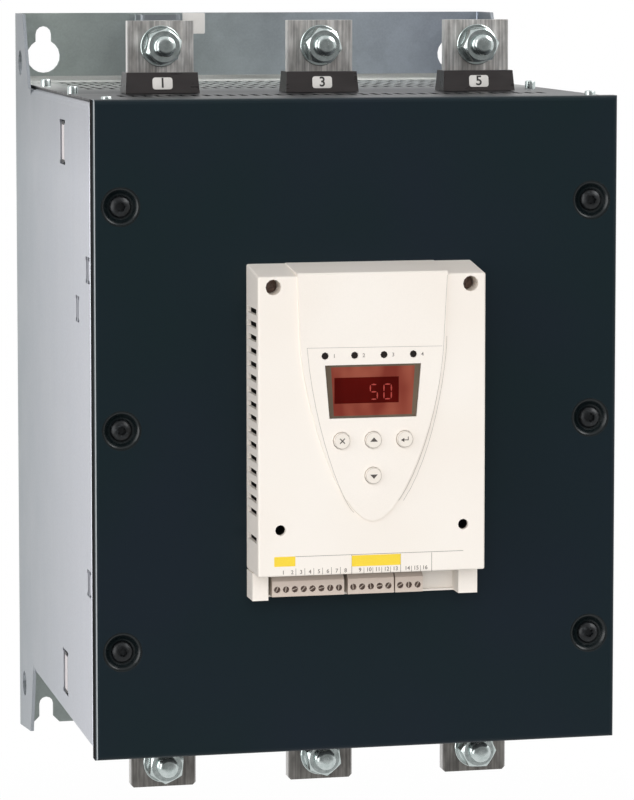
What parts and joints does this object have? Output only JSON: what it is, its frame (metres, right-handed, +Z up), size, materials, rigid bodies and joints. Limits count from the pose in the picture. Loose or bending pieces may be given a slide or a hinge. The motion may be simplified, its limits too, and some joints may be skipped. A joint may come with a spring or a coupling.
{
  "type": "soft starter",
  "caption": "Wall-mounted three-phase soft starter: slotted sheet-metal case, dark front cover, keypad and display module, busbar terminals above and below.",
  "frame": {"origin": "centre of the back plate's rear face, which lies on the wall", "axes": "+X to the right seen from the front, +Y into the wall, +Z up"},
  "size_m": [0.304, 0.3397, 0.455],
  "materials": {
    "galvanised_sheet": "hot-dip galvanised sheet with a faint spangle",
    "galvanised_panel": "galvanised sheet, slotted",
    "cover_paint": "dark blue-grey powder coat, satin",
    "ivory_plastic": "moulded ivory plastic with a fine grain",
    "key_plastic": "moulded ivory plastic",
    "terminal_plastic": "moulded beige plastic",
    "black_plastic": "glass-filled black plastic",
    "contactor_plastic": "dark grey moulded plastic",
    "smoked_plastic": "dark tinted clear plastic",
    "display_filter": "red filter window",
    "circuit_board": "lacquered circuit board",
    "tinned_copper": "tinned copper bar with rolling marks",
    "zinc_steel": "bright zinc-plated steel",
    "extruded_aluminium": "plain extruded aluminium"
  },
  "bodies": {
    "enclosure": {"chassis": "galvanised_sheet", "top_panel": "galvanised_panel", "bottom_panel": "galvanised_panel", "front_cover": "cover_paint", "cover_screw_1": "zinc_steel", "cover_screw_2": "zinc_steel", "cover_screw_3": "zinc_steel", "cover_screw_4": "zinc_steel", "cover_screw_5": "zinc_steel", "cover_screw_6": "zinc_steel", "control_cap": "ivory_plastic", "control_base": "ivory_plastic", "control_board": "circuit_board", "display_module": "circuit_board", "display_window": "display_filter", "light_pipe": "smoked_plastic", "terminal_block_relays": "terminal_plastic", "terminal_block_logic": "terminal_plastic", "terminal_block_sensor": "terminal_plastic", "port_socket": "black_plastic", "heat_sink": "extruded_aluminium", "fan_frame_1": "black_plastic", "fan_frame_2": "black_plastic", "thyristor_module_1": "black_plastic", "thyristor_module_2": "black_plastic", "thyristor_module_3": "black_plastic", "bypass_contactor": "contactor_plastic", "current_transformer_1": "black_plastic", "current_transformer_2": "black_plastic", "current_transformer_3": "black_plastic", "line_bar_1": "tinned_copper", "line_bar_2": "tinned_copper", "line_bar_3": "tinned_copper", "load_bar_1": "tinned_copper", "load_bar_2": "tinned_copper", "load_bar_3": "tinned_copper", "line_bolt_1": "zinc_steel", "line_bolt_2": "zinc_steel", "line_bolt_3": "zinc_steel", "load_bolt_1": "zinc_steel", "load_bolt_2": "zinc_steel", "load_bolt_3": "zinc_steel", "line_holder_1": "black_plastic", "line_holder_2": "black_plastic", "line_holder_3": "black_plastic", "load_holder_1": "black_plastic", "load_holder_2": "black_plastic", "load_holder_3": "black_plastic", "upper_crossbar": "galvanised_sheet", "lower_crossbar": "galvanised_sheet", "contactor_bracket": "galvanised_sheet", "board_plate": "galvanised_sheet", "driver_board": "circuit_board", "earth_terminal": "galvanised_sheet"},
    "escape_key": {"key_escape": "key_plastic"},
    "up_key": {"key_up": "key_plastic"},
    "enter_key": {"key_enter": "key_plastic"},
    "down_key": {"key_down": "key_plastic"},
    "left_rotor": {"fan_rotor_1": "black_plastic"},
    "right_rotor": {"fan_rotor_2": "black_plastic"}
  },
  "joints": [
    {"name": "escape_press", "type": "slide", "parent": "enclosure", "child": "escape_key", "axis": [0, 1, 0], "range_m": [0, 0.0008], "stiffness_N_per_m": 600},
    {"name": "up_press", "type": "slide", "parent": "enclosure", "child": "up_key", "axis": [0, 1, 0], "range_m": [0, 0.0008], "stiffness_N_per_m": 600},
    {"name": "enter_press", "type": "slide", "parent": "enclosure", "child": "enter_key", "axis": [0, 1, 0], "range_m": [0, 0.0008], "stiffness_N_per_m": 600},
    {"name": "down_press", "type": "slide", "parent": "enclosure", "child": "down_key", "axis": [0, 1, 0], "range_m": [0, 0.0008], "stiffness_N_per_m": 600},
    {"name": "left_fan_spin", "type": "hinge", "parent": "enclosure", "child": "left_rotor", "pos_m": [-0.061, -0.064, -0.165], "axis": [0, 0, 1], "continuous": true},
    {"name": "right_fan_spin", "type": "hinge", "parent": "enclosure", "child": "right_rotor", "pos_m": [0.061, -0.064, -0.165], "axis": [0, 0, 1], "continuous": true}
  ]
}
